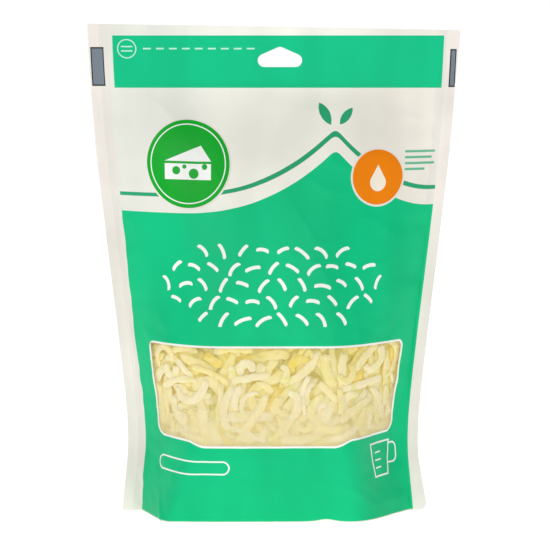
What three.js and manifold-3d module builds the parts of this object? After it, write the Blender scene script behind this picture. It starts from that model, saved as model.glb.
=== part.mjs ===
// A stand-up pouch of shredded cheese: heat-sealed printed film with a clear window in its front, a
// gusset folded into its base and a hang hole in its flat header. The shreds fill its lower part.
// Millimetres, +Z up, the front faces -Y. The origin is on the floor, under the middle of the pouch.
import * as THREE from "three";
import { mergeVertices } from "three/addons/utils/BufferGeometryUtils.js";
import Module from "manifold-3d";

const wasm = await Module();
wasm.setup();

// --- Driving dimensions ------------------------------------------------------------------------

const POUCH_HEIGHT = 225;
const FLAT_HALF = 79; // from the pouch's centre line to a side seal, measured along the film
const SEAL_WIDTH = 6; // each side seal is a flat fin
const SHEET = 0.8; // thickness of a fin and of the flat header
const WALL = 0.8; // thickness of the film round the hollow
const GAP = 0.3; // between pieces that lie face to face
const HEADER_FROM = 198; // above this the front and the back are sealed flat together
const CAVITY_TOP = 193;
const FIN_LIFT = 2; // the fins stop this far above the floor, and the rims stand on it
const LIFT_TO = 30; // the lift dies out at this height
const FOOT_ROUND = 4; // radius of the right fin's foot

// The filled pouch at seven heights. halfWidth runs out to the fin's edge and bulge is how far the
// front stands out. flat is the half width of the flattened front, left and right of the centre line,
// and pinch is how far the film beside it is drawn in, from 0, a plain curve, to 1, an S.
const STATIONS = [
  { z: 0, halfWidth: 70.6, bulge: 28, flat: [47, 36], pinch: [0.25, 0.35] },
  { z: 36, halfWidth: 67.9, bulge: 34.5, flat: [31, 31], pinch: [0.55, 0.9] },
  { z: 82, halfWidth: 71.9, bulge: 32.5, flat: [24, 24], pinch: [0.05, 0.25] },
  { z: 127, halfWidth: 77.2, bulge: 27.5, flat: [6, 6], pinch: [0, 0] },
  { z: 162, halfWidth: 80.9, bulge: 17.5, flat: [0, 0], pinch: [0, 0] },
  { z: HEADER_FROM, halfWidth: 83.8, bulge: 0.6, flat: [0, 0], pinch: [0, 0] },
  { z: POUCH_HEIGHT, halfWidth: 85, bulge: 0, flat: [0, 0], pinch: [0, 0] },
];

// The gusset: a ridge along the middle of the base, low in the middle and high at both ends.
const SKIRT = 3; // the gusset joins the front and the back this far above their lower rims
const RIDGE_MIDDLE = 2;
const RIDGE_END = 25;

// The clear window in the front, with its sides measured along the film.
const WINDOW = { left: -63.8, right: 69.6, bottom: 36.8, top: 81.5 };
const WINDOW_ROUND = { topLeft: 1.5, topRight: 3, bottomRight: 8, bottomLeft: 8 };

// The hang hole: a triangle with round corners, standing on its long side.
const HANG_HOLE = { x: 3.3, bottom: 207.5, top: 216.7, halfWidth: 10.3, round: 3 };

// The shreds: a core, with whole shreds lying on its front and its top.
const FILL_HEIGHT = 92;
const FILL_WAVE = { rise: 3, across: 11, shift: 0.6, along: 9 }; // low swells of the fill's top
const FILL_DROP = { fall: 2, at: 60, across: 17 }; // and its drop towards both ends
const CORE_BEHIND_FRONT = 2.4;
const CORE_BEFORE_BACK = 1.5;
const SHREDS_IN_FRONT = 36;
const SHRED_ROWS = 4;
const SHREDS_ON_TOP = 8;
const TOP_SPREAD = { x: 46, y: 12 };
const SHRED = { thickness: 2.4, width: [3.2, 4.4], length: [14, 34], step: 4.5, turn: 1.8, tilt: 0.3 };
const SHRED_SUNK = 0.8; // how far a shred is sunk in the core, and by how much more at most
const SHRED_SUNK_MORE = 0.6;
const PAST_WINDOW = 3; // the shreds reach this far behind the film beside the window
const SEED = 20;

// --- The shape of the filled film --------------------------------------------------------------

const { clamp, degToRad, lerp, radToDeg, smoothstep } = THREE.MathUtils;

// A smooth curve through one value of the stations, at height z.
function along(z, value) {
  const last = STATIONS.length - 1;
  const height = clamp(z, 0, POUCH_HEIGHT);
  let i = 0;
  while (i < last - 1 && height > STATIONS[i + 1].z) i += 1;
  const slope = (k) => {
    const below = STATIONS[Math.max(k - 1, 0)];
    const above = STATIONS[Math.min(k + 1, last)];
    return (value(above) - value(below)) / (above.z - below.z);
  };
  const span = STATIONS[i + 1].z - STATIONS[i].z;
  const t = (height - STATIONS[i].z) / span;
  return value(STATIONS[i]) * (2 * t ** 3 - 3 * t ** 2 + 1)
    + slope(i) * span * (t ** 3 - 2 * t ** 2 + t)
    + value(STATIONS[i + 1]) * (3 * t ** 2 - 2 * t ** 3)
    + slope(i + 1) * span * (t ** 3 - t ** 2);
}

// The section at height z, drawn in by inset on every side.
function sectionAt(z, inset) {
  const side = (k) => ({
    flat: Math.max(0, along(z, (s) => s.flat[k])),
    pinch: clamp(along(z, (s) => s.pinch[k]), 0, 1),
  });
  return {
    seal: along(z, (s) => s.halfWidth) - SEAL_WIDTH - inset,
    bulge: Math.max(0, along(z, (s) => s.bulge) - inset),
    sides: [side(0), side(1)],
  };
}

// How far the film stands out from the plane of the seals, at x in a section.
function standOut(section, x) {
  const { flat, pinch } = section.sides[x < 0 ? 0 : 1];
  const out = (Math.abs(x) - flat) / (section.seal - flat);
  if (out <= 0) return section.bulge;
  if (out >= 1) return 0;
  const curved = 1 - out ** 2;
  const drawnIn = 0.5 * (1 + Math.cos(Math.PI * out));
  return section.bulge * lerp(curved, drawnIn, pinch);
}

// Places across a section that are evenly spaced along the film, as x values from seal to seal.
const FINE_STEPS = 60;
function filmTable(section, sign) {
  const table = [{ x: 0, length: 0 }];
  for (let k = 1; k <= FINE_STEPS; k += 1) {
    const before = table[k - 1];
    const x = (sign * section.seal * k) / FINE_STEPS;
    const rise = standOut(section, x) - standOut(section, before.x);
    table.push({ x, length: before.length + Math.hypot(x - before.x, rise) });
  }
  return table;
}

// The x of a place on the film, given as its distance from the centre line along the film.
function xOnFilm(section, alongFilm) {
  const table = filmTable(section, Math.sign(alongFilm) || 1);
  const total = table[FINE_STEPS].length;
  const wanted = clamp(Math.abs(alongFilm) / FLAT_HALF, 0, 1) * total;
  let k = 1;
  while (k < FINE_STEPS && table[k].length < wanted) k += 1;
  const share = (wanted - table[k - 1].length) / (table[k].length - table[k - 1].length);
  return lerp(table[k - 1].x, table[k].x, share);
}

// --- Solids from points ------------------------------------------------------------------------

const MERGE_WITHIN = 1e-3;

function manifoldFrom(positions, indices) {
  return new wasm.Manifold(new wasm.Mesh({
    numProp: 3,
    vertProperties: Float32Array.from(positions),
    triVerts: Uint32Array.from(indices),
  }));
}

function manifoldFromGeometry(geometry) {
  geometry.deleteAttribute("normal");
  geometry.deleteAttribute("uv");
  const merged = mergeVertices(geometry, MERGE_WITHIN);
  return manifoldFrom(merged.attributes.position.array, merged.index.array);
}

// A closed solid between two grids of points of the same size, such as a front and a back skin.
// The first grid is seen from outside with its rows running up and its columns to the right.
function solidBetween(first, second) {
  const rows = first.length;
  const columns = first[0].length;
  const positions = [first, second].flat(2).flatMap((p) => [p.x, p.y, p.z]);
  const at = (grid, row, column) => (grid * rows + row) * columns + column;
  const indices = [];
  const quad = (a, b, c, d) => indices.push(a, b, c, a, c, d);
  const lastRow = rows - 1;
  const lastColumn = columns - 1;
  for (let r = 0; r < lastRow; r += 1) {
    for (let c = 0; c < lastColumn; c += 1) {
      quad(at(0, r, c), at(0, r, c + 1), at(0, r + 1, c + 1), at(0, r + 1, c));
      quad(at(1, r, c + 1), at(1, r, c), at(1, r + 1, c), at(1, r + 1, c + 1));
    }
    quad(at(1, r, 0), at(0, r, 0), at(0, r + 1, 0), at(1, r + 1, 0));
    quad(at(0, r, lastColumn), at(1, r, lastColumn), at(1, r + 1, lastColumn), at(0, r + 1, lastColumn));
  }
  for (let c = 0; c < lastColumn; c += 1) {
    quad(at(1, 0, c), at(1, 0, c + 1), at(0, 0, c + 1), at(0, 0, c));
    quad(at(0, lastRow, c), at(0, lastRow, c + 1), at(1, lastRow, c + 1), at(1, lastRow, c));
  }
  return manifoldFrom(positions, indices);
}

// Values from one to another, evenly spaced and no further apart than step.
function levels(from, to, step) {
  const count = Math.ceil((to - from) / step);
  return Array.from({ length: count + 1 }, (_, k) => lerp(from, to, k / count));
}

// --- The outside of the pouch, with its fins ---------------------------------------------------

const OUTSIDE_COLUMNS = 30;
const OUTSIDE_STEP = 9.5;

function finEdge(z, sign) {
  const edge = along(z, (s) => s.halfWidth);
  const below = Math.max(0, FOOT_ROUND - z);
  const rounding = FOOT_ROUND - Math.sqrt(FOOT_ROUND ** 2 - below ** 2);
  return sign < 0 ? -edge : edge - rounding;
}

function liftAt(x, z, section) {
  const [left, right] = section.sides;
  const flat = x < 0 ? left.flat : right.flat;
  return FIN_LIFT * smoothstep(Math.abs(x), flat, section.seal) * (1 - smoothstep(z, 0, LIFT_TO));
}

function outsideRow(z, face) {
  const section = sectionAt(z, 0);
  const xs = [finEdge(z, -1)];
  for (const share of levels(-1, 1, 2 / OUTSIDE_COLUMNS)) xs.push(xOnFilm(section, share * FLAT_HALF));
  xs.push(finEdge(z, 1));
  return xs.map((x) => {
    const y = face * (SHEET / 2 + standOut(section, x));
    return new THREE.Vector3(x, y, z + liftAt(x, z, section));
  });
}

function outside() {
  const footRows = [0, FOOT_ROUND / 4, FOOT_ROUND];
  const bodyRows = levels(FOOT_ROUND, HEADER_FROM, OUTSIDE_STEP).slice(1);
  const heights = [...footRows, ...bodyRows, POUCH_HEIGHT];
  return solidBetween(heights.map((z) => outsideRow(z, -1)), heights.map((z) => outsideRow(z, 1)));
}

// --- The hollow, drawn in from the outside -----------------------------------------------------

const THINNEST = 0.05;

function hollowRow(z, inset, face, columns) {
  const section = sectionAt(z, inset);
  return levels(-1, 1, 2 / columns).map((share) => {
    const x = xOnFilm(section, share * FLAT_HALF);
    return new THREE.Vector3(x, face * Math.max(THINNEST, standOut(section, x)), z);
  });
}

// The space inside the film, open downwards past the floor, with its own insets in front and behind.
function hollow({ front, back, top, step, columns }) {
  const heights = [-2 * SKIRT, ...levels(0, top, step)];
  return solidBetween(
    heights.map((z) => hollowRow(z, front, -1, columns)),
    heights.map((z) => hollowRow(z, back, 1, columns)),
  );
}

// --- The gusset and the top of the fill --------------------------------------------------------

const GUSSET_COLUMNS = 24;
const GUSSET_ROWS = 3; // from the ridge to a rim
const PAST_RIM = 15;

// Everything below the gusset's surface, in a grid that follows the outline of the base. The surface
// runs from the skirts at the front and back rims to the ridge in the middle.
function belowGusset(raise) {
  const base = sectionAt(0, 0);
  const pastSeal = base.seal + PAST_RIM;
  const onFilm = levels(-1, 1, 2 / GUSSET_COLUMNS).map((share) => xOnFilm(base, share * FLAT_HALF));
  const xs = [-pastSeal, ...onFilm, pastSeal];
  const row = (share, past) => xs.map((x) => {
    const rim = Math.max(SHEET, standOut(base, x));
    const ridge = lerp(RIDGE_MIDDLE, RIDGE_END, Math.min(1, Math.abs(x) / base.seal) ** 3);
    return new THREE.Vector3(x, share * rim + past, lerp(ridge, SKIRT, Math.abs(share)) + raise);
  });
  const surface = [
    row(-1, -PAST_RIM),
    ...levels(-1, 1, 1 / GUSSET_ROWS).map((share) => row(share, 0)),
    row(1, PAST_RIM),
  ];
  const flat = surface.map((points) => points.map((p) => new THREE.Vector3(p.x, p.y, -PAST_RIM)));
  return solidBetween(surface, flat);
}

// The uneven top of the fill.
function fillHeight(x, y) {
  const wave = Math.sin(x / FILL_WAVE.across + FILL_WAVE.shift) * Math.cos(y / FILL_WAVE.along);
  const drop = (x / FILL_DROP.at) ** 2 * Math.cos(x / FILL_DROP.across);
  return FILL_HEIGHT + FILL_WAVE.rise * wave - FILL_DROP.fall * drop;
}

// Everything above the fill, in a block that is larger than the pouch.
const FILL_CELL = 9;
function aboveFill() {
  const [halfX, halfY] = [FLAT_HALF + PAST_RIM, FLAT_HALF / 2];
  const grid = (height) => levels(-halfY, halfY, FILL_CELL).map(
    (y) => levels(-halfX, halfX, FILL_CELL).map((x) => new THREE.Vector3(x, y, height(x, y))),
  );
  return solidBetween(grid(() => 2 * FILL_HEIGHT), grid(fillHeight));
}

// --- Outlines that are cut through the film ----------------------------------------------------

const ARC_STEPS = 5;

// Points round a corner: an arc about a centre, from one angle to another in degrees.
function arc(x, z, radius, from, to) {
  return levels(from, to, (to - from) / ARC_STEPS).map((degrees) => {
    const angle = degToRad(degrees);
    return new THREE.Vector2(x + radius * Math.cos(angle), z + radius * Math.sin(angle));
  });
}

// A block with the outline seen from the front, from y = near to y = far.
function cutter(outline, near, far) {
  const shape = new THREE.Shape(outline);
  const geometry = new THREE.ExtrudeGeometry(shape, { depth: far - near, bevelEnabled: false });
  geometry.rotateX(Math.PI / 2);
  geometry.translate(0, far, 0);
  return manifoldFromGeometry(geometry);
}

// The window's outline, drawn in by inset. Its sides follow the film, so it narrows as the pouch does.
const WINDOW_SIDE_STEP = 7;
function windowOutline(inset) {
  const { left, right, bottom, top } = WINDOW;
  const corner = (u, z, radius, from) => arc(
    u - Math.sign(u) * (radius + inset),
    z + (z === bottom ? 1 : -1) * (radius + inset),
    radius,
    from,
    from + 90,
  );
  const [sideFrom, sideTo] = [bottom + WINDOW_ROUND.bottomRight, top - WINDOW_ROUND.topRight];
  const sideHeights = levels(sideFrom, sideTo, WINDOW_SIDE_STEP).slice(1, -1);
  const onFilm = [
    ...corner(left, bottom, WINDOW_ROUND.bottomLeft, 180),
    ...corner(right, bottom, WINDOW_ROUND.bottomRight, 270),
    ...sideHeights.map((z) => new THREE.Vector2(right - inset, z)),
    ...corner(right, top, WINDOW_ROUND.topRight, 0),
    ...corner(left, top, WINDOW_ROUND.topLeft, 90),
    ...sideHeights.toReversed().map((z) => new THREE.Vector2(left + inset, z)),
  ];
  return onFilm.map((p) => new THREE.Vector2(xOnFilm(sectionAt(p.y, 0), p.x), p.y));
}

function hangHoleOutline() {
  const { x, bottom, top, halfWidth, round } = HANG_HOLE;
  const lobe = halfWidth - round;
  const rise = top - bottom - 2 * round;
  const lean = radToDeg(Math.atan2(lobe, rise));
  return [
    ...arc(x + lobe, bottom + round, round, -90, lean),
    ...arc(x, top - round, round, lean, 180 - lean),
    ...arc(x - lobe, bottom + round, round, 180 - lean, 270),
  ];
}

// --- Shreds ------------------------------------------------------------------------------------

// A seeded source of numbers from 0 to 1.
function randomSource(seed) {
  let state = seed;
  return () => {
    state = (state + 0x6d2b79f5) | 0;
    let mixed = Math.imul(state ^ (state >>> 15), 1 | state);
    mixed = (mixed + Math.imul(mixed ^ (mixed >>> 7), 61 | mixed)) ^ mixed;
    return ((mixed ^ (mixed >>> 14)) >>> 0) / 4294967296;
  };
}

// A curved strip: a flat section carried along points, each with the direction that its face looks.
function strip(points, normals, width, thickness, tilt) {
  const corners = [[-1, -1], [1, -1], [1, 1], [-1, 1]];
  const rings = points.map((point, k) => {
    const ahead = points[Math.min(k + 1, points.length - 1)];
    const behind = points[Math.max(k - 1, 0)];
    const forward = new THREE.Vector3().subVectors(ahead, behind).normalize();
    const face = normals[k].clone().projectOnPlane(forward).normalize().applyAxisAngle(forward, tilt);
    const across = new THREE.Vector3().crossVectors(face, forward);
    return corners.map(([a, b]) => point.clone()
      .addScaledVector(across, (a * width) / 2)
      .addScaledVector(face, (b * thickness) / 2));
  });
  const positions = rings.flat().flatMap((p) => [p.x, p.y, p.z]);
  const indices = [0, 2, 1, 0, 3, 2];
  for (let k = 0; k < rings.length - 1; k += 1) {
    for (let c = 0; c < 4; c += 1) {
      const a = 4 * k + c;
      const b = 4 * k + ((c + 1) % 4);
      indices.push(a, b, b + 4, a, b + 4, a + 4);
    }
  }
  const end = 4 * (rings.length - 1);
  indices.push(end, end + 1, end + 2, end, end + 2, end + 3);
  return manifoldFrom(positions, indices);
}

// A place on the front film, moved inwards by depth, and the direction outwards there.
function behindFilm(u, z, depth) {
  const section = sectionAt(z, 0);
  const x = xOnFilm(section, u);
  const small = 0.5;
  const bulgeAt = (px, pz) => standOut(sectionAt(pz, 0), px);
  const slopeX = (bulgeAt(x + small, z) - bulgeAt(x - small, z)) / (2 * small);
  const slopeZ = (bulgeAt(x, z + small) - bulgeAt(x, z - small)) / (2 * small);
  const outwards = new THREE.Vector3(-slopeX, -1, -slopeZ).normalize();
  const point = new THREE.Vector3(x, -standOut(section, x), z).addScaledVector(outwards, -depth);
  return { point, outwards };
}

// Points of a level, slowly turning path from a middle point.
function wanderingPath(random, u, v) {
  const length = lerp(...SHRED.length, random());
  const steps = Math.max(3, Math.round(length / SHRED.step));
  const heading = random() * Math.PI;
  const turn = (random() - 0.5) * SHRED.turn;
  let angle = heading - turn / 2;
  const path = [new THREE.Vector2(0, 0)];
  for (let k = 0; k < steps; k += 1) {
    const advance = new THREE.Vector2(Math.cos(angle), Math.sin(angle)).multiplyScalar(length / steps);
    path.push(path[k].clone().add(advance));
    angle += turn / steps;
  }
  const middle = path[0].clone().lerp(path[steps], 0.5);
  return path.map((p) => p.sub(middle).add(new THREE.Vector2(u, v)));
}

// Shreds spread over the window's area, each sunk a little way into the front of the core.
function frontShreds(random) {
  const perRow = SHREDS_IN_FRONT / SHRED_ROWS;
  const shallowest = WALL + CORE_BEHIND_FRONT - SHRED.thickness / 2 + SHRED_SUNK;
  return Array.from({ length: SHREDS_IN_FRONT }, (_, k) => {
    const share = ((k % perRow) + random()) / perRow;
    const row = (Math.floor(k / perRow) + random()) / SHRED_ROWS;
    const middleU = lerp(WINDOW.left, WINDOW.right, share);
    const middleZ = lerp(WINDOW.bottom, WINDOW.top, row);
    const depth = shallowest + random() * SHRED_SUNK_MORE;
    const places = wanderingPath(random, middleU, middleZ).map((p) => {
      const u = clamp(p.x, WINDOW.left - PAST_WINDOW, WINDOW.right + PAST_WINDOW);
      return behindFilm(u, p.y, depth);
    });
    const width = lerp(...SHRED.width, random());
    const tilt = (random() - 0.5) * SHRED.tilt;
    return strip(places.map((p) => p.point), places.map((p) => p.outwards), width, SHRED.thickness, tilt);
  });
}

// Shreds lying on the top of the fill.
function topShreds(random) {
  return Array.from({ length: SHREDS_ON_TOP }, (_, k) => {
    const middleX = lerp(-TOP_SPREAD.x, TOP_SPREAD.x, (k + 0.5) / SHREDS_ON_TOP);
    const middleY = lerp(-TOP_SPREAD.y, TOP_SPREAD.y, random());
    const path = wanderingPath(random, middleX, middleY);
    const above = SHRED.thickness / 2 - SHRED_SUNK;
    const points = path.map((p) => new THREE.Vector3(p.x, p.y, fillHeight(p.x, p.y) + above));
    const up = points.map(() => new THREE.Vector3(0, 0, 1));
    const tilt = (random() - 0.5) * SHRED.tilt;
    return strip(points, up, lerp(...SHRED.width, random()), SHRED.thickness, tilt);
  });
}

// --- The three pieces --------------------------------------------------------------------------

function geometryOf(solid) {
  const { vertProperties, triVerts } = solid.getMesh();
  const geometry = new THREE.BufferGeometry();
  geometry.setAttribute("position", new THREE.BufferAttribute(Float32Array.from(vertProperties), 3));
  geometry.setIndex(Array.from(triVerts));
  return geometry;
}

function namedMesh(name, solid, colour, roughness) {
  const material = new THREE.MeshStandardMaterial({ color: colour, roughness, metalness: 0 });
  const mesh = new THREE.Mesh(geometryOf(solid), material);
  mesh.name = name;
  return mesh;
}

// A solid's largest closed surface: this fills the hollows that are sealed in it and drops loose scraps.
// A hollow that touches the outside in one point only comes apart in a further round.
function largestSurface(solid) {
  const surfaces = manifoldFromGeometry(geometryOf(solid)).decompose();
  const [largest] = surfaces.toSorted((a, b) => b.volume() - a.volume());
  return surfaces.length > 1 ? largestSurface(largest) : largest;
}

const FRONT_OF_POUCH = -60;
const windowBlock = (inset) => cutter(windowOutline(inset), FRONT_OF_POUCH, -THINNEST);

const INSIDE_GRID = { step: 10, columns: 24 };
const CORE_GRID = { step: 10, columns: 22 };

const insideFilm = hollow({ front: WALL, back: WALL, top: CAVITY_TOP, ...INSIDE_GRID });
const underGusset = insideFilm.intersect(belowGusset(0));
const cavity = insideFilm.subtract(belowGusset(WALL));
const shell = outside().subtract(underGusset).subtract(cavity);

function pouch() {
  const hangHole = cutter(hangHoleOutline(), -2 * SHEET, 2 * SHEET);
  const solid = shell.subtract(windowBlock(0)).subtract(hangHole);
  return namedMesh("pouch", largestSurface(solid), "#24c68e", 0.42);
}

function windowFilm() {
  return namedMesh("window_film", largestSurface(shell.intersect(windowBlock(GAP))), "#f4f1e4", 0.12);
}

function shreddedCheese() {
  const random = randomSource(SEED);
  const room = hollow({ front: WALL + GAP, back: WALL + GAP, top: CAVITY_TOP, ...INSIDE_GRID });
  const insets = { front: WALL + CORE_BEHIND_FRONT, back: WALL + CORE_BEFORE_BACK };
  const core = hollow({ ...insets, top: FILL_HEIGHT + FILL_WAVE.rise + FILL_DROP.fall, ...CORE_GRID });
  const heap = core.subtract(aboveFill());
  const shreds = [...frontShreds(random), ...topShreds(random)];
  const joined = shreds.reduce((sum, shred) => sum.add(shred), heap);
  const trimmed = joined.intersect(room).subtract(belowGusset(WALL + GAP));
  return namedMesh("shredded_cheese", largestSurface(trimmed), "#efe3bb", 0.55);
}

const group = new THREE.Group();
group.add(pouch(), windowFilm(), shreddedCheese());

export default group;
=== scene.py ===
# %% [markdown]
# # A bag of shredded mozzarella
#
# The bag is a stand-up pouch: a printed front film and a printed back film, heat-sealed to each
# other at both sides and across the top, with a gusset film folded in between them at the base. A
# clear window low in the front shows the cheese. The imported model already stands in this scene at
# its real size, and sets the size of everything here: each film is cut flat with the outline that
# the real film has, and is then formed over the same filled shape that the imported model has.

import math
import random

import bpy
import numpy as np
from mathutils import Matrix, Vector, geometry, noise


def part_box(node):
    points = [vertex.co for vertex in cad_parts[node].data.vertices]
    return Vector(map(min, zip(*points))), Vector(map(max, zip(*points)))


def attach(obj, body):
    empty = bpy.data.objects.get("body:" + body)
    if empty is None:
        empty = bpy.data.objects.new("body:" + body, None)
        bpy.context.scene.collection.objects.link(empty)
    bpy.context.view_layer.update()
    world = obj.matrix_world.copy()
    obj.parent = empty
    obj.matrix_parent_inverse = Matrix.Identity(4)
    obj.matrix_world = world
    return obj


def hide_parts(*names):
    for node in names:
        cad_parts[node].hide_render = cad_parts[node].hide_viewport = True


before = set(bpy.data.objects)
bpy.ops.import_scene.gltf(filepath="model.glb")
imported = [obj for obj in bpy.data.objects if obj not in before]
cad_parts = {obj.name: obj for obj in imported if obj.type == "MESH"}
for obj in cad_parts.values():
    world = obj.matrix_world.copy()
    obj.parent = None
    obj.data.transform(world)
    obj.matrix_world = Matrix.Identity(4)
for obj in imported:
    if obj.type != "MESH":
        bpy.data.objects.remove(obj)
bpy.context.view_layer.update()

MM = 0.001  # lengths below are in millimetres, and become metres when a mesh is made
_, pouch_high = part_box("pouch")
HEIGHT = pouch_high.z / MM
HALF_WIDTH = pouch_high.x / MM
print(f"pouch: {2 * HALF_WIDTH:.0f} mm wide and {HEIGHT:.0f} mm tall")

# %% [markdown]
# ## Camera
#
# The bag is seen from straight in front and a little above, from about a metre away with a long
# lens, so that its sides stay nearly parallel. The camera's numbers are written as a place, a tilt
# and an angle of view, which is how a photographer would note them down.

# %% Camera
CAMERA_PLACE = (0.001, -1.150, 0.2472)
CAMERA_TILT_DOWN = 6.75  # degrees
CAMERA_ANGLE = 12.6  # degrees across the picture

camera = bpy.data.objects.new("camera", bpy.data.cameras.new("camera"))
bpy.context.scene.collection.objects.link(camera)
camera.location = CAMERA_PLACE
camera.rotation_euler = (math.radians(90 - CAMERA_TILT_DOWN), 0, 0)
camera.data.sensor_fit = "HORIZONTAL"
camera.data.angle = math.radians(CAMERA_ANGLE)
camera.data.clip_end = 100
bpy.context.scene.camera = camera
print("camera at", CAMERA_PLACE, "looking", CAMERA_TILT_DOWN, "degrees down")

# %% [markdown]
# ## Shader maths as plain arithmetic
#
# A material is a graph of nodes. Wiring it by hand buries the idea under boxes, so a socket is
# wrapped in a small class whose arithmetic adds the Math nodes: `1 - mask` or `a * b + c` then
# reads as it would on paper, and `&` and `|` take the lesser and the greater of two distances,
# which cuts and joins shapes. Every other node comes from one method, `Finish.node`.


# %% A socket that takes arithmetic
def adds_node(operation, reflected=False):
    """A method that puts its values through one Math node, in turned order if it is reflected."""
    def method(self, *others):
        values = (*others, self) if reflected else (self, *others)
        return self.finish.maths(operation, *values)

    return method


class Wire:
    """A number on its way through a material: arithmetic on it adds Math nodes."""

    __add__ = __radd__ = adds_node("ADD")
    __mul__ = __rmul__ = adds_node("MULTIPLY")
    __sub__ = adds_node("SUBTRACT")
    __rsub__ = adds_node("SUBTRACT", reflected=True)
    __truediv__ = adds_node("DIVIDE")
    __pow__ = adds_node("POWER")
    __abs__ = adds_node("ABSOLUTE")
    __and__ = adds_node("MINIMUM")
    __or__ = adds_node("MAXIMUM")

    def __init__(self, finish, socket):
        self.finish = finish
        self.socket = socket


# %% Colours
def ink(red, green, blue):
    """A colour as it is seen on a screen, 0 to 255, turned into the light that Blender counts in."""
    linear = [c / 12.92 if c <= 0.04045 else ((c + 0.055) / 1.055) ** 2.4
              for c in (red / 255, green / 255, blue / 255)]
    return (*linear, 1)


print("a middle grey is", round(ink(128, 128, 128)[0], 3), "of white's light")


# %% A material under construction
MIX_COLOURS = {"below": 6, "above": 7, "output": 2}  # the Mix node's colour sockets


class Finish:
    """A material whose nodes all come from one method."""

    def __init__(self, name):
        self.material = bpy.data.materials.new(name)
        self.material.use_nodes = True
        self.material.node_tree.nodes.clear()

    def node(self, kind, settings=None, inputs=None, output=0):
        made = self.material.node_tree.nodes.new(kind)
        for name, value in (settings or {}).items():
            setattr(made, name, value)
        for key, value in (inputs or {}).items():
            if isinstance(value, Wire):
                self.material.node_tree.links.new(value.socket, made.inputs[key])
            else:
                made.inputs[key].default_value = value
        return Wire(self, made.outputs[output]) if len(made.outputs) else None

    def maths(self, operation, *values, clamp=False):
        settings = {"operation": operation, "use_clamp": clamp}
        return self.node("ShaderNodeMath", settings, dict(enumerate(values)))

    def attribute(self, name, output):
        return self.node("ShaderNodeAttribute", {"attribute_name": name}, output=output)

    def parts(self, vector):
        """The three numbers of a vector."""
        first = self.node("ShaderNodeSeparateXYZ", {}, {0: vector})
        return [Wire(self, socket) for socket in first.socket.node.outputs]

    def mix(self, mask, below, above, blend="MIX"):
        settings = {"data_type": "RGBA", "blend_type": blend}
        inputs = {0: mask, MIX_COLOURS["below"]: below, MIX_COLOURS["above"]: above}
        return self.node("ShaderNodeMix", settings, inputs, MIX_COLOURS["output"])

    def noise(self, at, scale, detail=2.0, roughness=0.5):
        """Soft noise from 0 to 1 over a vector, in features of 1 / scale."""
        inputs = {"Vector": at, "Scale": scale, "Detail": detail, "Roughness": roughness}
        return self.node("ShaderNodeTexNoise", {}, inputs)

    def ramp(self, value, low, high):
        """0 below low, 1 above high, and smooth between."""
        inputs = {"Value": value, "From Min": low, "From Max": high}
        return self.node("ShaderNodeMapRange", {"interpolation_type": "SMOOTHSTEP"}, inputs)

    def bump(self, height, distance, strength=1.0):
        inputs = {"Height": height, "Distance": distance, "Strength": strength}
        return self.node("ShaderNodeBump", {}, inputs)

    def surface(self, **sockets):
        """The surface itself. A value that is the same all over goes straight on its socket."""
        named = {name.replace("_", " "): value for name, value in sockets.items()}
        shader = self.node("ShaderNodeBsdfPrincipled", {}, named)
        self.node("ShaderNodeOutputMaterial", {}, {"Surface": shader})
        print(f"{self.material.name}: {len(self.material.node_tree.nodes)} nodes")
        return self.material


# %% [markdown]
# ## Floor and light
#
# The bag stands on a plain white sweep under large soft lights, slightly brighter from the left.
# The film slopes back above its middle and is a little darker there, so most of the light has to
# come from in front and not from above. A pale floor throws some of it back up on the lower film.

# %% Floor
FLOOR_HALF = 40.0  # metres: it reaches the horizon


def floor():
    mesh = bpy.data.meshes.new("floor")
    corners = [(-1, -1), (1, -1), (1, 1), (-1, 1)]
    mesh.from_pydata([(x * FLOOR_HALF, y * FLOOR_HALF, 0) for x, y in corners], [], [(0, 1, 2, 3)])
    finish = Finish("white_sweep")
    speckle = finish.noise(finish.node("ShaderNodeTexCoord", output="Object"), 9.0)
    tone = finish.mix(speckle, ink(247, 247, 246), ink(250, 250, 250))
    mesh.materials.append(finish.surface(Base_Color=tone, Roughness=0.9, Emission_Color=(1, 1, 1, 1),
                                         Emission_Strength=0.76, Specular_IOR_Level=0.1))
    placed = bpy.data.objects.new("floor", mesh)
    bpy.context.scene.collection.objects.link(placed)
    print(f"floor: {2 * FLOOR_HALF:.0f} m wide")


floor()

# %% Lights
SKY = 0.27


def soft_light(name, place, size, power):
    """A square light, its size in metres and its power in watts, that looks at the bag's middle."""
    light = bpy.data.objects.new(name, bpy.data.lights.new(name, "AREA"))
    light.data.shape = "SQUARE"
    light.data.size = size
    light.data.energy = power
    light.location = place
    aim = Vector((0, 0, HEIGHT * MM / 2)) - Vector(place)
    light.rotation_euler = aim.to_track_quat("-Z", "Y").to_euler()
    bpy.context.scene.collection.objects.link(light)


soft_light("key", (-1.0, -1.5, 0.9), 0.6, 7)
soft_light("front", (0.3, -2.0, 0.8), 1.2, 8)
soft_light("back_light", (0.4, 1.6, 1.0), 1.2, 9)

world = bpy.data.worlds.new("studio")
world.use_nodes = True
world.node_tree.nodes["Background"].inputs["Color"].default_value = (1, 1, 1, 1)
world.node_tree.nodes["Background"].inputs["Strength"].default_value = SKY
bpy.context.scene.world = world
bpy.context.scene.view_settings.view_transform = "Standard"
print("three soft lights and an even sky")

# %% [markdown]
# ## The filled shape
#
# The film can't stretch. Where the filling pushes the front and back apart, the side seals draw
# in, and the way round the bag stays as long as it was when the film lay flat. So a place on the
# film is named by two flat lengths, which are also the ones that the printer works in: `across`,
# from the centre line, and `up`, from the lower edge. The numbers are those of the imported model.

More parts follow.
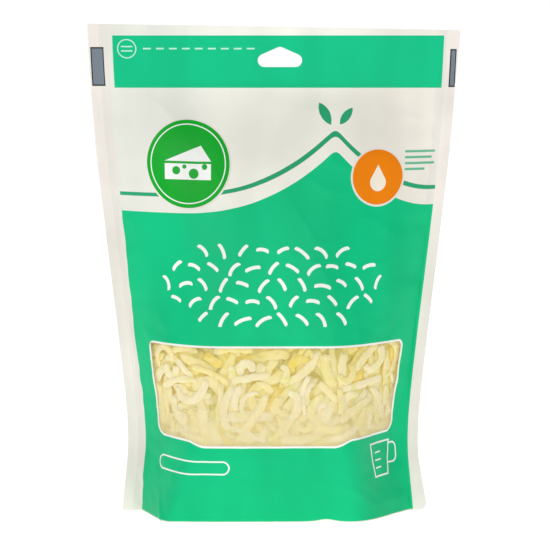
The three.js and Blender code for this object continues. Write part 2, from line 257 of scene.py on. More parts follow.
# %% Sections of the filled bag
SEAL_WIDTH = 6
FLAT_HALF = HALF_WIDTH - SEAL_WIDTH  # from the centre line to a seal, along the film
SHEET = 0.8  # mm between the outer faces of two sealed films
FIN_LIFT = (0.2, 0.4)  # how far the feet of the left and the right fin stand above the floor
LIFT_TO = 30  # the height where that lift has faded out
HEADER_FROM = 198
Z, HALF, BULGE, FLAT, PINCH = 0, 1, 2, (3, 4), (5, 6)  # columns; FLAT and PINCH are left and right
STATIONS = np.array([
    (0, 70.6, 28.0, 47, 36, 0.25, 0.35),
    (36, 67.9, 34.5, 31, 31, 0.55, 0.90),
    (82, 71.9, 32.5, 24, 24, 0.05, 0.25),
    (127, 77.2, 27.5, 6, 6, 0, 0),
    (162, 80.9, 17.5, 0, 0, 0, 0),
    (HEADER_FROM, 83.8, 0.6, 0, 0, 0, 0),
    (HEIGHT, HALF_WIDTH, 0, 0, 0, 0, 0),
])


def along(up, column):
    """A smooth curve through one column of the stations."""
    heights, values = STATIONS[:, Z], STATIONS[:, column]
    up = np.clip(up, heights[0], heights[-1])
    i = np.clip(np.searchsorted(heights, up, side="right") - 1, 0, len(heights) - 2)
    k = np.arange(len(heights))
    below, above = np.maximum(k - 1, 0), np.minimum(k + 1, k[-1])
    slopes = (values[above] - values[below]) / (heights[above] - heights[below])
    span = heights[i + 1] - heights[i]
    t = (up - heights[i]) / span
    return (values[i] * (2 * t**3 - 3 * t**2 + 1) + slopes[i] * span * (t**3 - 2 * t**2 + t)
            + values[i + 1] * (3 * t**2 - 2 * t**3) + slopes[i + 1] * span * (t**3 - t**2))


def section(left, up):
    """Seal, bulge, flat half width and pinch at a height, on the side that each point is on."""
    flat = np.maximum(0, np.where(left, along(up, FLAT[0]), along(up, FLAT[1])))
    pinch = np.clip(np.where(left, along(up, PINCH[0]), along(up, PINCH[1])), 0, 1)
    return along(up, HALF) - SEAL_WIDTH, np.maximum(0, along(up, BULGE)), flat, pinch


def stand_out(x, seal, bulge, flat, pinch):
    """How far the film stands out from the plane of the seals."""
    out = np.clip((np.abs(x) - flat) / (seal - flat), 0, 1)
    curved = 1 - out**2
    drawn_in = 0.5 * (1 + np.cos(np.pi * out))
    return bulge * (curved + (drawn_in - curved) * pinch)


print("depth at the fullest height:", round(2 * float(STATIONS[:, BULGE].max()) + SHEET, 1), "mm")


# %% Places on the smooth film
FINE_STEPS = 60  # pieces that half a section is measured in
FOOT_HEIGHT = 26  # below this the left seal and the right fin widen towards their feet
FOOT_SEAL = 3.0  # how much wider the left seal is at its foot


def smooth(value, low, high):
    """0 below low, 1 above high, and smooth between. It runs the other way if low is above high."""
    t = np.clip((value - low) / (high - low), 0, 1)
    return t * t * (3 - 2 * t)


def bare_film(across, up, face):
    """Places in space of places on the smooth film. face is -1 for the front and 1 for the back."""
    side = np.where(across < 0, -1.0, 1.0)
    seal, bulge, flat, pinch = section(across < 0, up)
    extra = np.where(across < 0, FOOT_SEAL, 0) * smooth(up, FOOT_HEIGHT, 0)
    seal = seal - extra
    flat_half = FLAT_HALF - extra
    share = np.linspace(0, 1, FINE_STEPS + 1)[None, :]
    x = seal[:, None] * share
    rise = stand_out(x, *(v[:, None] for v in (seal, bulge, flat, pinch)))
    steps = np.hypot(np.diff(x), np.diff(rise))
    length = np.concatenate([np.zeros((len(x), 1)), np.cumsum(steps, axis=1)], axis=1)
    wanted = np.clip(np.abs(across) / flat_half, 0, 1) * length[:, -1]
    rows = np.arange(len(x))
    k = np.clip((length < wanted[:, None]).sum(axis=1), 1, FINE_STEPS)
    part = (wanted - length[rows, k - 1]) / (length[rows, k] - length[rows, k - 1])
    out = x[rows, k - 1] + part * (x[rows, k] - x[rows, k - 1])
    out += np.maximum(0, np.abs(across) - flat_half)
    y = face * (SHEET / 2 + stand_out(out, seal, bulge, flat, pinch))
    lift = np.where(across < 0, *FIN_LIFT) * smooth(out, flat, seal) * (1 - smooth(up, 0, LIFT_TO))
    return np.stack([side * out, y, up + lift], axis=1)


place = bare_film(np.array([0.0, 69.6]), np.array([60.0, 60.0]), -1)
print("film at its middle and at the window's right side, mm:", place.round(1).tolist())

# %% [markdown]
# ## Wrinkles of the film
#
# Heat seals shrink the film a little, so it puckers along them. It is flat in the header and has
# to open into a curve below, which throws soft flutes. Shreds press small lumps into it from
# inside. A cloth simulation could find such folds, but a stiff laminate hardly drapes: its
# wrinkles are small, and where each kind lies is known. So they are written as a height over the
# flat film, from seeded noise, and the fins' waves move both films alike, as they are one sheet.


# %% Noise over the film
def soft_noise(a, b, size_a, size_b, seed):
    """Smooth noise, about -1 to 1, in features of the given sizes."""
    points = zip((a / size_a).tolist(), (b / size_b).tolist())
    return np.array([noise.noise((p, q, seed)) for p, q in points])


def sharp_noise(a, b, size_a, size_b, seed):
    """Noise with sharp ridges, as creases have, about 0 to 1."""
    return 1 - np.abs(soft_noise(a, b, size_a, size_b, seed)) * 2


def line_noise(up, size, row, seeds):
    """Smooth noise along the film's height alone, with a seed for each point."""
    return np.array([noise.noise((u / size, row, s)) for u, s in zip(up.tolist(), seeds.tolist())])


# %% Heights of the wrinkles
FLUTES, PUCKERS, SWELL, LUMPS, CREASES = 1.3, 0.9, 1.0, 0.30, 0.28  # mm
SEAL_LINE = -0.2  # mm: the press leaves a line along the seal's inner edge
CORNER_FOLD = {"across": -51, "height": 0.7, "lean": 0.6, "width": 1.5}  # low at the front's left


def wrinkles(across, up, face):
    """How far the film stands proud of its smooth shape, along its own direction outwards."""
    seed = 7.3 if face < 0 else 23.9
    from_seal = FLAT_HALF - np.abs(across)
    inside = smooth(from_seal, 0, 14)
    side_seed = seed + np.where(across < 0, 0.0, 5.0)
    below_header = smooth(up, HEADER_FROM, 186) * smooth(up, 128, 176)
    flutes = FLUTES * below_header * inside * soft_noise(across, up, 17, 70, seed)
    puckers = PUCKERS * np.exp(-np.maximum(from_seal, 0) / 8) * smooth(from_seal, 0, 3)
    puckers *= line_noise(up, 6.5, 0.3, side_seed)
    puckers *= smooth(up, 0, 14) * smooth(up, HEADER_FROM + 2, 180)
    swell = SWELL * inside * soft_noise(across, up, 34, 52, seed + 1) * smooth(up, HEADER_FROM, 170)
    filled = smooth(up, 104, 84) * inside
    lumps = LUMPS * filled * soft_noise(across, up, 6, 5, seed + 2) * smooth(up, 2, 14)
    creases = CREASES * (inside * smooth(up, HEADER_FROM, 188))
    creases *= sharp_noise(across + 0.4 * up, up - 0.3 * across, 19, 26, seed + 3) ** 3
    seal_line = SEAL_LINE * (np.abs(from_seal) < 0.4) * smooth(up, HEADER_FROM + 6, HEADER_FROM)
    from_fold = across - CORNER_FOLD["across"] + CORNER_FOLD["lean"] * up
    corner = CORNER_FOLD["height"] * np.exp(-((from_fold / CORNER_FOLD["width"]) ** 2))
    corner *= smooth(up, 13, 3) * (face < 0)
    return flutes + puckers + swell + lumps + creases + seal_line + corner


# %% Sway of the fins and the header
SWAY = {"slow": 1.7, "quick": 0.5, "header": 0.8}  # mm
FOOT_FORWARD = 3  # mm that the feet of the fins bend forward


def fin_wave(across, up):
    """How far the sealed fins and the header sway, towards the back, both films alike."""
    outwards = smooth(np.abs(across), FLAT_HALF - 16, HALF_WIDTH)
    outermost = smooth(np.abs(across), FLAT_HALF - 2, HALF_WIDTH)
    side = np.where(across < 0, 11.0, 31.0)
    slow = SWAY["slow"] * line_noise(up, 24, 0.5, side)
    quick = SWAY["quick"] * line_noise(up, 9, 0.5, side + 2)
    body = outwards * (slow + quick * outermost)
    body -= FOOT_FORWARD * outwards * smooth(up, 34, 0)
    header = SWAY["header"] * smooth(up, HEADER_FROM - 10, HEIGHT)
    return body + header * soft_noise(across, up, 60, 90, 3.1)


# %% The film as it is in space
RIM_WAVE = {"across": 25, "width": 5, "rise": 1.1}  # the front's lower rim lifts a little here
STEP = 0.5  # mm, for finding the film's direction


def facing(across, up, face):
    """Places of the smooth film and the directions outwards there."""
    here = bare_film(across, up, face)
    sideways = bare_film(across + STEP, up, face) - bare_film(across - STEP, up, face)
    upwards = bare_film(across, up + STEP, face) - bare_film(across, up - STEP, face)
    outwards = np.cross(sideways, upwards) * -face
    return here, outwards / np.linalg.norm(outwards, axis=1)[:, None]


def formed_film(across, up, face):
    """Places of the wrinkled film and the directions outwards there."""
    here, outwards = facing(across, up, face)
    shift = outwards * wrinkles(across, up, face)[:, None]
    shift[:, 2] *= smooth(up, 0, 12)
    shift[:, 1] += fin_wave(across, up)
    if face < 0:
        wave = np.exp(-(((across - RIM_WAVE["across"]) / RIM_WAVE["width"]) ** 2))
        shift[:, 2] += RIM_WAVE["rise"] * wave * smooth(up, 9, 0)
    return here + shift, outwards


middle_line = wrinkles(np.zeros(3), np.array([60.0, 120.0, 180.0]), -1)
print("wrinkles at the front's middle, mm:", middle_line.round(2))

# %% [markdown]
# ## Cutting the films flat
#
# A real film is cut flat before it is folded, and the mesh is made the same way. The outline and
# its holes are loops of points in the flat film. A Delaunay triangulation keeps those loops as
# edges and fills the rest with an even grid, so the window and the hang hole have clean edges on
# any curve. Only then is each vertex moved to its place on the filled bag.

# %% Outline of the bag
FOOT = {"round": 4, "spread": 1.6}  # the right fin's foot: its radius, and how much wider it is
TOP_LEFT = (-0.2, 2.3)  # how far the two top corners lie outside the plain rectangle
TOP_RIGHT = (1.2, -0.6)
TOP_ROUND = 1.6
ARC_STEPS = 7


def arc(across, up, radius, start, end):
    """Points round a corner, from one angle to another in degrees."""
    angles = np.radians(np.linspace(start, end, ARC_STEPS + 1))
    return [(across + radius * math.cos(a), up + radius * math.sin(a)) for a in angles]


def film_outline():
    """The bag's outline. Its top was cut a little askew, higher at the left."""
    foot = arc(HALF_WIDTH + FOOT["spread"] - FOOT["round"], FOOT["round"], FOOT["round"], -90, 0)
    right = HALF_WIDTH + TOP_RIGHT[0] - TOP_ROUND
    corner = arc(right, HEIGHT + TOP_RIGHT[1] - TOP_ROUND, TOP_ROUND, 0, 90)
    return [(-HALF_WIDTH, 0), *foot, (HALF_WIDTH, FOOT_HEIGHT), (HALF_WIDTH, HEADER_FROM), *corner,
            (-HALF_WIDTH + TOP_LEFT[0], HEIGHT + TOP_LEFT[1]), (-HALF_WIDTH, HEADER_FROM)]


# %% Outline of the window
WINDOW = {"left": -63.8, "right": 69.6, "bottom": 36.8, "top": 81.5}
WINDOW_ROUND = {"bottom": 4.5, "top_right": 3.0, "top_left": 1.5}
WINDOW_STEPS = ((-31, -41, 2.4), (28, 38, 3.0))  # its lower edge rises from, to, and by how much


def window_outline():
    """The window's edge: four round corners, and a lower edge with two small steps."""
    left, right, bottom, top = WINDOW.values()
    low, top_right, top_left = WINDOW_ROUND.values()
    rise_left, rise_right = (rise for *_, rise in WINDOW_STEPS)
    across = np.arange(left + low + 2, right - low, 2)
    level = bottom + sum(rise * smooth(across, start, end) for start, end, rise in WINDOW_STEPS)
    return [*arc(left + low, bottom + rise_left + low, low, 180, 270),
            *zip(across.tolist(), level.tolist()),
            *arc(right - low, bottom + rise_right + low, low, 270, 360),
            *arc(right - top_right, top - top_right, top_right, 0, 90),
            *arc(left + top_left, top - top_left, top_left, 90, 180)]


print("window, mm along the film:", WINDOW)


# %% Outline of the hang hole
HANG_HOLE = {"across": 3.3, "bottom": 207.5, "top": 216.7, "half_width": 10.3, "round": 3.0}


def hang_hole_outline():
    """A flat triangle with round corners."""
    middle, bottom, top, half_width, radius = HANG_HOLE.values()
    lobe = half_width - radius
    lean = math.degrees(math.atan2(lobe, top - bottom - 2 * radius))
    return [*arc(middle + lobe, bottom + radius, radius, -90, lean),
            *arc(middle, top - radius, radius, lean, 180 - lean),
            *arc(middle - lobe, bottom + radius, radius, 180 - lean, 270)]


print("hang hole:", round(2 * HANG_HOLE["half_width"], 1), "mm wide")


# %% Points of a loop
def evenly(loop, step):
    """The same loop with points no further apart than step."""
    points = []
    for start, end in zip(loop, loop[1:] + loop[:1]):
        count = max(1, math.ceil(math.dist(start, end) / step))
        points += [tuple(np.add(start, np.subtract(end, start) * k / count)) for k in range(count)]
    return [p for p, q in zip(points, points[1:] + points[:1]) if math.dist(p, q) > 1e-6]


def within(points, loop):
    """Which points lie inside a loop: a ray from each crosses it an odd number of times."""
    a = np.array(loop)
    b = np.roll(a, -1, axis=0)
    x, y = points[:, :1], points[:, 1:]
    spans = (a[:, 1] > y) != (b[:, 1] > y)
    rise = np.where(b[:, 1] == a[:, 1], 1, b[:, 1] - a[:, 1])
    cuts = x < a[:, 0] + (y - a[:, 1]) * (b[:, 0] - a[:, 0]) / rise
    return (spans & cuts).sum(axis=1) % 2 == 1


def on_film(points, outline, *holes):
    """Which points lie inside the outline and outside every hole."""
    keep = within(points, outline)
    for hole in holes:
        keep &= ~within(points, hole)
    return keep


# %% Flat sheets of triangles
GRID = 1.5  # mm between the vertices of a film
KEEP_OFF = 0.55  # of that, from an outline
FIN_COLUMNS = 4


def flat_sheet(outline, holes):
    """Vertices and triangles of a flat film, with the seals' inner edges as lines of vertices."""
    loops = [evenly(loop, GRID) for loop in (outline, *holes)]
    points = [p for loop in loops for p in loop]
    edges, start = [], 0
    for loop in loops:
        edges += [(start + k, start + (k + 1) % len(loop)) for k in range(len(loop))]
        start += len(loop)
    rim = np.array(points)
    columns = np.concatenate([np.linspace(-HALF_WIDTH, -FLAT_HALF, FIN_COLUMNS + 1)[:-1],
                              np.linspace(-FLAT_HALF, FLAT_HALF, round(2 * FLAT_HALF / GRID) + 1),
                              np.linspace(FLAT_HALF, HALF_WIDTH, FIN_COLUMNS + 1)[1:]])
    rows = np.linspace(0, HEIGHT, round(HEIGHT / GRID) + 1)
    grid = np.array([(u, v) for v in rows for u in columns])
    grid = grid[on_film(grid, *loops)]
    near = np.array([np.hypot(*(rim - p).T).min() for p in grid])
    inner = grid[near > KEEP_OFF * GRID]
    verts = [Vector(p) for p in (*points, *inner.tolist())]
    flat, _, faces, *_ = geometry.delaunay_2d_cdt(verts, edges, [], 0, 1e-5)
    flat = np.array([tuple(v) for v in flat])
    faces = np.array(faces)
    faces = faces[on_film(flat[faces].mean(axis=1), *loops)]
    print(f"cut a flat sheet of {len(flat)} vertices and {len(faces)} triangles")
    return flat, faces


# %% Meshes
def mesh_object(name, verts, faces, material, attributes):
    """A smooth-shaded mesh from points in millimetres, with named values for each vertex."""
    mesh = bpy.data.meshes.new(name)
    mesh.from_pydata((np.asarray(verts) * MM).tolist(), [], [list(face) for face in faces])
    for key, values in attributes.items():
        values = np.asarray(values, dtype=np.float32)
        vector = values.ndim == 2
        layer = mesh.attributes.new(key, "FLOAT_VECTOR" if vector else "FLOAT", "POINT")
        layer.data.foreach_set("vector" if vector else "value", values.ravel())
    mesh.polygons.foreach_set("use_smooth", [True] * len(mesh.polygons))
    mesh.materials.append(material)
    made = bpy.data.objects.new(name, mesh)
    bpy.context.scene.collection.objects.link(made)
    return made


def ring_faces(rings, around, start=0, closed=True):
    """Faces between rings of points. Closed rings join up, and the first and last are capped."""
    faces = []
    for ring in range(start, start + (rings - 1) * around, around):
        for k in range(around if closed else around - 1):
            a, b = ring + k, ring + (k + 1) % around
            faces.append((a, a + around, b + around, b))
    if closed:
        end = start + rings * around
        faces.append(tuple(range(start, start + around)))
        faces.append(tuple(range(end - 1, end - 1 - around, -1)))
    return faces


# %% [markdown]
# ## Films with two sides
#
# A printed film shows ink on its outer side alone: the inner side is plain. A Solidify modifier
# would copy the print through, so the second side is built by hand, a film's thickness further
# in, with a strip round every cut edge. Each vertex carries its place on the flat film and which
# side it is on, and the print reads both. A map is laid out as well, in which the finish can be
# baked: nearly all of it goes to the printed side, since the others are plain.

# %% Map of a film
FILM = 0.38  # mm: each film is a sheet this thick, inwards from its outer face
MAP_SIDE = 236.0  # mm of film along each side of the map that its finish is baked into
MAP_PLAIN = {"left": 0.76, "bottom": 0.01, "width": 0.23}  # where the plain side lies in that map
MAP_EDGE = {"bottom": 0.45, "height": 0.01}  # and the cut edge, above it
SHARP = 50  # degrees: an edge that turns more than this is shaded as sharp


def cut_edges(faces):
    """The edges that only one triangle has, in its own direction."""
    edges = {(a, b) for face in faces for a, b in zip(face, face[1:] + face[:1])}
    return sorted(edge for edge in edges if edge[::-1] not in edges)


def bake_map(flat, faces, edges):
    """Places in the baked map for each corner: printed side, plain side, cut edge."""
    printed = (flat + (HALF_WIDTH + 2, 2)) / MAP_SIDE
    left, bottom, width = MAP_PLAIN.values()
    plain = (flat + (HALF_WIDTH, 0)) * (width / (2 * HALF_WIDTH)) + (left, bottom)
    corners = np.array(faces).ravel()
    turned = np.array(faces)[:, ::-1].ravel()
    count = len(edges)
    share = np.arange(count) / count
    strip = [(left + width * (share + end / count),
              np.full(count, MAP_EDGE["bottom"] + side * MAP_EDGE["height"]))
             for end, side in ((1, 0), (0, 0), (0, 1), (1, 1))]
    strip = np.array(strip).transpose(2, 0, 1).reshape(-1, 2)
    return np.concatenate([printed[corners], plain[turned], strip])


# %% Formed films
def thick_film(name, flat, faces, face, material):
    """A formed film: its printed outer side, its plain inner side and the cut edge between."""
    count = len(flat)
    verts, outwards = formed_film(flat[:, 0], flat[:, 1], face)
    edges = cut_edges(faces)
    inner = [tuple(k + count for k in reversed(corners)) for corners in faces]
    rim = [(b, a, a + count, b + count) for a, b in edges]
    place = np.column_stack([flat[:, 0] * -face, flat[:, 1], np.zeros(count)])
    both_sides = {"film": np.concatenate([place, place + (0, 0, 1)])}
    verts = np.concatenate([verts, verts - outwards * FILM])
    made = mesh_object(name, verts, faces + inner + rim, material, both_sides)
    layer = made.data.uv_layers.new(name="OFBake")
    layer.data.foreach_set("uv", bake_map(flat, faces, edges).ravel())
    made.data.set_sharp_from_angle(angle=math.radians(SHARP))
    print(f"{name}: {len(made.data.polygons)} faces")
    return made


def formed_sheet(name, outline, holes, face, material, printed=True):
    """Cuts a film flat and forms it. A clear one is a single surface: both sides look the same."""
    flat, faces = flat_sheet(outline, holes)
    faces = [tuple(corners) if face < 0 else tuple(corners[::-1]) for corners in faces.tolist()]
    if printed:
        return thick_film(name, flat, faces, face, material)
    verts, _ = formed_film(flat[:, 0], flat[:, 1], face)
    place = np.column_stack([flat, np.zeros(len(flat))])
    return mesh_object(name, verts, faces, material, {"film": place})


# %% [markdown]
# ## The print
#
# The print is a few fields of colour on white film: a green band along the header, a green field
# whose upper edge sweeps up to a crest with a thin line above it, two round badges, and a white
# border round the window. Each field is a mask that is worked out from the flat film's own
# coordinates, as a signed distance to the field's edge: below zero is inside. The ink's edge then
# stays sharp at any size, and it bends with the film. An image would blur close to, and would have
# to be stretched over the curves. The small art is plain: sprinkled strokes like shreds, two
# leaves, a wedge of cheese, a drop, and a measuring cup with level marks.

# %% Inks
FILM_WHITE = ink(238, 234, 226)
WHITE_INK = ink(253, 254, 251)
PALE_GREEN = ink(196, 240, 220)
GREEN = ink(8, 199, 134)
HEADER_GREEN = ink(4, 197, 138)
LINE_GREEN = ink(44, 168, 118)
print("greens, in linear light:", np.round([GREEN, HEADER_GREEN, LINE_GREEN], 3).tolist())

# %% Shapes of ink
INK_EDGE = 0.14  # mm over which an ink fades out
SQUARE = 0.01  # mm: the radius of a corner that looks square


class Print:
    """Shapes of ink on a flat film, painted one over the other."""

    def __init__(self, finish):
        self.finish = finish
        self.place = finish.attribute("film", "Vector")
        self.across, self.up, self.inner = finish.parts(self.place)
        self.colour = None

    def along_film(self, operation, vector):
        """One number from a place on the film and a fixed vector, by Vector Math."""
        inputs = {0: self.place, 1: vector}
        return self.finish.node("ShaderNodeVectorMath", {"operation": operation}, inputs, "Value")

    def covers(self, distance):
        """1 inside a shape and 0 outside, from the signed distance to its edge."""
        return self.finish.maths("MULTIPLY_ADD", distance, -1 / INK_EDGE, 0.5, clamp=True)

    def paint(self, distance, colour):
        self.colour = self.finish.mix(self.covers(distance), self.colour, colour)

    def disc(self, across, up, radius):
        return self.along_film("DISTANCE", (across, up, 0)) - radius

    def ring(self, across, up, radius, width):
        return abs(self.disc(across, up, radius)) - width / 2

    def plane(self, degrees, across, up):
        """Everything behind a line through a point, whose open side looks the given way."""
        a = math.radians(degrees)
        reach = math.cos(a) * across + math.sin(a) * up
        return self.along_film("DOT_PRODUCT", (math.cos(a), math.sin(a), 0)) - reach

    def panel(self, left, right, bottom, top, radius=SQUARE, above=0):
        """A rectangle with round corners, which may lie above its place by a height that varies."""
        half = ((right - left) / 2 - radius, (top - bottom) / 2 - radius)
        a = abs(self.across - (left + right) / 2) - half[0]
        b = abs(self.up - (bottom + top) / 2 - above) - half[1]
        outer = ((a | 0) * (a | 0) + (b | 0) * (b | 0)) ** 0.5
        return outer + ((a | b) & 0) - radius

    def polygon(self, corners):
        """A convex shape from its corners, anticlockwise."""
        whole = None
        for (x0, y0), (x1, y1) in zip(corners, corners[1:] + corners[:1]):
            side = self.plane(math.degrees(math.atan2(x0 - x1, y1 - y0)), x0, y0)
            whole = side if whole is None else whole | side
        return whole


# %% Sprinkled strokes
STROKE = {"half": 2.0, "longer": 1.5, "radius": 5.5, "straighter": 9, "turn": 2.3, "lift": 1.6}
STEEP = 50  # outside the oval the distance grows this fast, so that no part of a stroke is cut


def sprinkled_strokes(art, middle, reach, cell, thickness, seed):
    """Curved strokes, one in each cell of a grid, for the cells that lie within an oval."""
    finish = art.finish
    row = finish.maths("FLOOR", art.up / cell[1])
    shifted = art.across / cell[0] + row * 0.5
    column = finish.maths("FLOOR", shifted)
    cell_name = finish.node("ShaderNodeCombineXYZ", {}, {"X": column, "Y": row, "Z": seed})
    settings = {"noise_dimensions": "3D"}
    chance = finish.node("ShaderNodeTexWhiteNoise", settings, {"Vector": cell_name}, "Color")
    turn, lift, bend = finish.parts(chance)
    x = (shifted - column - 0.5) * cell[0]
    y = (art.up / cell[1] - row - 0.5) * cell[1] + (lift - 0.5) * STROKE["lift"]
    angle = (turn - 0.5) * STROKE["turn"]
    cosine, sine = finish.maths("COSINE", angle), finish.maths("SINE", angle)
    a = x * cosine + y * sine
    b = y * cosine - x * sine
    radius = STROKE["radius"] + bend * STROKE["straighter"]
    hollow = b + radius
    off = (a * a + hollow * hollow) ** 0.5 - radius
    beyond = abs(a) - (STROKE["half"] + lift * STROKE["longer"]) | 0
    stroke = (off * off + beyond * beyond) ** 0.5 - thickness
    cell_x = (column + 0.5 - row * 0.5) * cell[0]
    cell_y = (row + 0.5) * cell[1]
    oval = (((cell_x - middle[0]) / reach[0]) ** 2 + ((cell_y - middle[1]) / reach[1]) ** 2) - 1
    return stroke | (oval * STEEP)


# %% The swept edge
CREST = {"across": 29.6, "up": 170.1}
SWEEP = {"left_at": -46.4, "left_up": 141.5, "right_at": 78.5, "right_up": 144.2}
HOLLOW = {"left": 2.35, "right": 2.05}  # powers: the higher, the longer each curve stays low
CREST_ROUND = 7
LINE_ABOVE = 8.0  # from the field's edge up to the thin line that follows it
print(f"the crest is {CREST['up']} mm up, and the line {LINE_ABOVE} mm above it")


def swept_height(art):
    """Height of the green field's upper edge: two hollow curves that meet in a rounded crest."""
    left_run = CREST["across"] - SWEEP["left_at"]
    right_run = SWEEP["right_at"] - CREST["across"]
    left = ((art.across - SWEEP["left_at"]) / left_run | 0) ** HOLLOW["left"]
    right = ((SWEEP["right_at"] - art.across) / right_run | 0) ** HOLLOW["right"]
    left = left * (CREST["up"] - SWEEP["left_up"]) + SWEEP["left_up"]
    right = right * (CREST["up"] - SWEEP["right_up"]) + SWEEP["right_up"]
    return art.finish.maths("SMOOTH_MIN", left, right, CREST_ROUND)


# %% Fields of green
SIDE_LEFT, SIDE_RIGHT = -75.5, 80.2  # the print's sides
PRINT_FROM = 0.6  # above the film's lower edge
HEADER_BAND = (-74.0, 78.9, 198, 222)


def fields_of_green(art, half_line):
    """The header's band, the swept field and the line above it, half a line's thickness given."""
    edge = swept_height(art)
    print_sides = art.panel(SIDE_LEFT, SIDE_RIGHT, PRINT_FROM, HEIGHT)
    art.paint(art.panel(*HEADER_BAND), HEADER_GREEN)
    art.paint((art.up - edge) | print_sides, GREEN)
    art.paint((abs(art.up - edge - LINE_ABOVE) - half_line) | print_sides, LINE_GREEN)


# %% A wedge, a drop and a leaf
WEDGE_SIDE = ((-1, -0.55), (1, -0.55), (1, 0.1), (-1, 0.1))
WEDGE_TOP = ((-1, 0.2), (1, 0.2), (0.55, 0.85))
WEDGE_HOLES = ((-0.5, -0.18, 0.17), (0.25, -0.3, 0.21), (0.72, -0.02, 0.12), (-0.15, -0.02, 0.09))


def cheese_wedge(art, x, y, size, colour, hole_colour):
    for corners in (WEDGE_SIDE, WEDGE_TOP):
        art.paint(art.polygon([(x + a * size, y + b * size) for a, b in corners]), colour)
    for a, b, radius in WEDGE_HOLES:
        art.paint(art.disc(x + a * size, y + b * size, radius * size), hole_colour)


def drop(art, x, y, size, colour):
    """A disc with a point above it."""
    art.paint(art.disc(x, y - 0.25 * size, 0.62 * size), colour)
    art.paint(art.polygon([(x - 0.56 * size, y), (x + 0.56 * size, y), (x, y + size)]), colour)


def leaf(art, x, y, degrees, length, colour):
    """A pointed leaf: what two discs have in common."""
    radius = 0.72 * length
    a = math.radians(degrees + 90)
    gap = radius - 0.19 * length
    one = art.disc(x + gap * math.cos(a), y + gap * math.sin(a), radius)
    two = art.disc(x - gap * math.cos(a), y - gap * math.sin(a), radius)
    art.paint(one | two, colour)


# %% Badges
BADGE = {"across": -39.9, "up": 163.7, "radius": 19.8}
ROUND_MARK = {"across": 49.8, "up": 157.6, "radius": 12.4}
WHITE_RIM = 0.9


def badge(art):
    x, y, r = BADGE.values()
    art.paint(art.disc(x, y, r + WHITE_RIM), FILM_WHITE)
    glow = art.finish.ramp(art.disc(x, y + 2, 0), 0.9 * r, 0.1 * r)
    green = art.finish.mix(glow, ink(12, 172, 44), ink(40, 176, 62))
    art.paint(art.disc(x, y, r), green)
    art.paint(art.ring(x, y, r - 2, 0.5), WHITE_INK)
    cheese_wedge(art, x, y - 1, size=11, colour=WHITE_INK, hole_colour=green)


def round_mark(art):
    x, y, r = ROUND_MARK.values()
    art.paint(art.disc(x, y, r + WHITE_RIM), FILM_WHITE)
    art.paint(art.disc(x, y, r), ink(246, 134, 6))
    drop(art, x, y - 0.8, size=6.4, colour=ink(252, 240, 222))


# %% Small marks
PEN = 0.4  # mm: half the thickness of an outline


def bars(art, left, lengths, top, pitch, half, radius, colour):
    """Short bars one below the other, each with its own length."""
    for k, length in enumerate(lengths):
        level = top - pitch * k
        art.paint(art.panel(left, left + length, level - half, level + half, radius), colour)


def measuring_cup(art):
    left, right, bottom, top = 51, 68, 19.5, 35
    cup = art.polygon([(left + 3, bottom), (right - 3, bottom), (right, top), (left, top)])
    handle = art.panel(right - 3, right + 5, bottom + 5, top - 1.5, 2.5)
    art.paint(abs(handle) - PEN, WHITE_INK)
    art.paint(cup, GREEN)
    art.paint(abs(cup) - PEN, WHITE_INK)
    bars(art, left + 4, (5, 5, 5), bottom + 11.2, pitch=3.6, half=0.35, radius=SQUARE,
         colour=WHITE_INK)


def header_mark(art):
    x, y = -67.5, 215.9
    art.paint(art.ring(x, y, 4.2, 0.5), PALE_GREEN)
    bars(art, x - 2.6, (5.2, 5.2), y + 1, pitch=2, half=0.3, radius=SQUARE, colour=PALE_GREEN)


def header_dashes(art):
    left, period, dash, count = -60, 6.0, 3.6, 9
    phase = art.finish.maths("FRACT", (art.across - left) / period) * period
    row = art.panel(left, left + count * period, 215.6, 216.3)
    art.paint(row | (abs(phase - dash / 2) - dash / 2), PALE_GREEN)


def eye_marks(art):
    """Two grey bars that a packing machine's eye looks for, so that it cuts in the right place."""
    for left, right, bottom, top in ((-84.3, -78.2, 198.8, 216.7), (82.0, 84.9, 198.3, 215.8)):
        art.paint(art.panel(left, right, bottom, top), ink(48, 50, 56))
        art.paint(art.panel(left + 0.6, right - 0.5, bottom + 0.7, top - 0.7), ink(122, 133, 144))


# %% The front's print
BORDER = 0.9


def window_border(art):
    """A white edge round the window: it follows the steps of the window's lower edge."""
    left, right, bottom, top = WINDOW.values()
    rise = sum(art.finish.ramp(art.across, start, end) * height for start, end, height in WINDOW_STEPS)
    low = art.panel(left, right, bottom, top + 20, WINDOW_ROUND["bottom"], above=rise)
    high = art.panel(left, right, bottom - 20, top, WINDOW_ROUND["top_right"])
    art.paint((low | high) - BORDER, WHITE_INK)


def front_print(art):
    steep = art.finish.ramp(abs(art.across - CREST["across"]), 62, 10)
    fields_of_green(art, 0.85 + 0.45 * steep)
    header_mark(art)
    header_dashes(art)
    eye_marks(art)
    leaf(art, 24.5, 186, degrees=118, length=12, colour=LINE_GREEN)
    leaf(art, 34.5, 185, degrees=52, length=10, colour=LINE_GREEN)
    badge(art)
    round_mark(art)
    bars(art, 63, (15.5, 14, 15.5, 10.5), 169, pitch=2.7, half=0.55, radius=0.5,
         colour=ink(108, 190, 152))
    strokes = sprinkled_strokes(art, middle=(3, 110), reach=(54, 21), cell=(9.2, 7.6),
                                thickness=0.8, seed=3.0)
    art.paint(strokes, WHITE_INK)
    window_border(art)
    measuring_cup(art)
    blank_outline = abs(art.panel(-62, -20, 23.5, 29.5, radius=3)) - 0.35
    art.paint(blank_outline, WHITE_INK)


